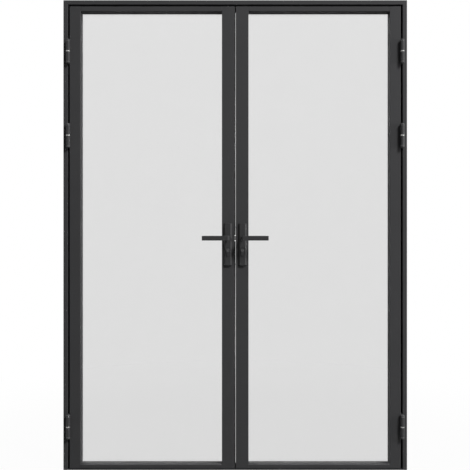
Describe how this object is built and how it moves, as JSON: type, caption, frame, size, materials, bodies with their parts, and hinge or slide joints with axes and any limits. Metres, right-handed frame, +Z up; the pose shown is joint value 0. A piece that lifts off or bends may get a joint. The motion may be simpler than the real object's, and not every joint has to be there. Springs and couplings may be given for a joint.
{
  "type": "double glass door",
  "caption": "Double glass door in a dark grey steel frame, with a pair of hinged glazed leaves, lever handles, key cylinders and a latch between the leaves.",
  "frame": {"origin": "middle of the sill, on the floor, halfway through the frame's depth", "axes": "+Z up, +X to the right seen from the front, front facing -Y"},
  "size_m": [1.536, 0.168, 2.1],
  "materials": {
    "painted_steel": "matt powder coat",
    "glass": "clear, polished, light grey tint",
    "rubber": "matt",
    "block_plastic": "moulded",
    "hinge_metal": "satin powder coat",
    "handle_metal": "satin black coat",
    "lock_metal": "black nickel",
    "bright_steel": "zinc plated"
  },
  "bodies": {
    "frame": {"left_jamb": "painted_steel", "right_jamb": "painted_steel", "head": "painted_steel", "threshold": "painted_steel", "frame_seal": "rubber", "left_hinge_frame_barrels": "hinge_metal", "right_hinge_frame_barrels": "hinge_metal", "hinge_pins": "bright_steel", "hinge_washers": "bright_steel"},
    "left_leaf": {"left_hinge_leaf_barrels": "hinge_metal", "left_hinge_stile": "painted_steel", "left_meeting_stile": "painted_steel", "left_top_rail": "painted_steel", "left_bottom_rail": "painted_steel", "left_glass": "glass", "left_front_gasket": "rubber", "left_rear_gasket": "rubber", "left_hinge_bead": "painted_steel", "left_meeting_bead": "painted_steel", "left_top_bead": "painted_steel", "left_bottom_bead": "painted_steel", "left_setting_blocks": "block_plastic", "left_key_cylinder": "lock_metal", "left_front_plate": "handle_metal", "left_rear_plate": "handle_metal", "left_meeting_brush": "rubber", "left_strike_plate": "bright_steel", "left_bolt_case": "bright_steel"},
    "right_leaf": {"right_hinge_leaf_barrels": "hinge_metal", "right_hinge_stile": "painted_steel", "right_meeting_stile": "painted_steel", "right_top_rail": "painted_steel", "right_bottom_rail": "painted_steel", "right_glass": "glass", "right_front_gasket": "rubber", "right_rear_gasket": "rubber", "right_hinge_bead": "painted_steel", "right_meeting_bead": "painted_steel", "right_top_bead": "painted_steel", "right_bottom_bead": "painted_steel", "right_setting_blocks": "block_plastic", "right_key_cylinder": "lock_metal", "right_front_plate": "handle_metal", "right_rear_plate": "handle_metal", "right_forend": "bright_steel", "right_lock_case": "bright_steel"},
    "left_levers": {"left_front_lever": "handle_metal", "left_rear_lever": "handle_metal", "left_spindle": "bright_steel"},
    "right_levers": {"right_front_lever": "handle_metal", "right_rear_lever": "handle_metal", "right_spindle": "bright_steel"},
    "left_key": {"left_key_plug": "lock_metal"},
    "right_key": {"right_key_plug": "lock_metal"},
    "top_bolt": {"top_bolt": "bright_steel"},
    "bottom_bolt": {"bottom_bolt": "bright_steel"},
    "latch_bolt": {"latch_bolt": "bright_steel"},
    "dead_bolt": {"dead_bolt": "bright_steel"}
  },
  "joints": [
    {"name": "left_leaf_swing", "type": "hinge", "parent": "frame", "child": "left_leaf", "pos_m": [-0.74425, -0.0445, 1.05], "axis": [0, 0, -1], "range_deg": [0, 105]},
    {"name": "left_lever_turn", "type": "hinge", "parent": "left_leaf", "child": "left_levers", "pos_m": [-0.0325, -0.01, 1.0365], "axis": [0, -1, 0], "range_deg": [0, 45], "stiffness_Nm_per_rad": 1.5, "springref_deg": -28.65},
    {"name": "left_key_turn", "type": "hinge", "parent": "left_leaf", "child": "left_key", "pos_m": [-0.0325, -0.01, 0.9825], "axis": [0, -1, 0], "range_deg": [0, 360]},
    {"name": "right_leaf_swing", "type": "hinge", "parent": "frame", "child": "right_leaf", "pos_m": [0.74425, -0.0445, 1.05], "axis": [0, 0, 1], "range_deg": [0, 105]},
    {"name": "right_lever_turn", "type": "hinge", "parent": "right_leaf", "child": "right_levers", "pos_m": [0.0325, -0.01, 1.0365], "axis": [0, 1, 0], "range_deg": [0, 45], "stiffness_Nm_per_rad": 1.5, "springref_deg": -28.65},
    {"name": "right_key_turn", "type": "hinge", "parent": "right_leaf", "child": "right_key", "pos_m": [0.0325, -0.01, 0.9825], "axis": [0, 1, 0], "range_deg": [0, 360]},
    {"name": "latch_slide", "type": "slide", "parent": "right_leaf", "child": "latch_bolt", "axis": [1, 0, 0], "range_m": [0, 0.012]},
    {"name": "dead_bolt_slide", "type": "slide", "parent": "right_leaf", "child": "dead_bolt", "axis": [-1, 0, 0], "range_m": [0, 0.02]},
    {"name": "top_bolt_slide", "type": "slide", "parent": "left_leaf", "child": "top_bolt", "axis": [0, 0, -1], "range_m": [0, 0.02]},
    {"name": "bottom_bolt_slide", "type": "slide", "parent": "left_leaf", "child": "bottom_bolt", "axis": [0, 0, 1], "range_m": [0, 0.02]}
  ],
  "couplings": [
    {"joint": "latch_slide", "follows": "right_lever_turn", "m_per_rad": 0.01527},
    {"joint": "dead_bolt_slide", "follows": "right_key_turn", "m_per_rad": 0.003183},
    {"joint": "top_bolt_slide", "follows": "left_lever_turn", "m_per_rad": 0.02546},
    {"joint": "bottom_bolt_slide", "follows": "left_lever_turn", "m_per_rad": 0.02546}
  ]
}
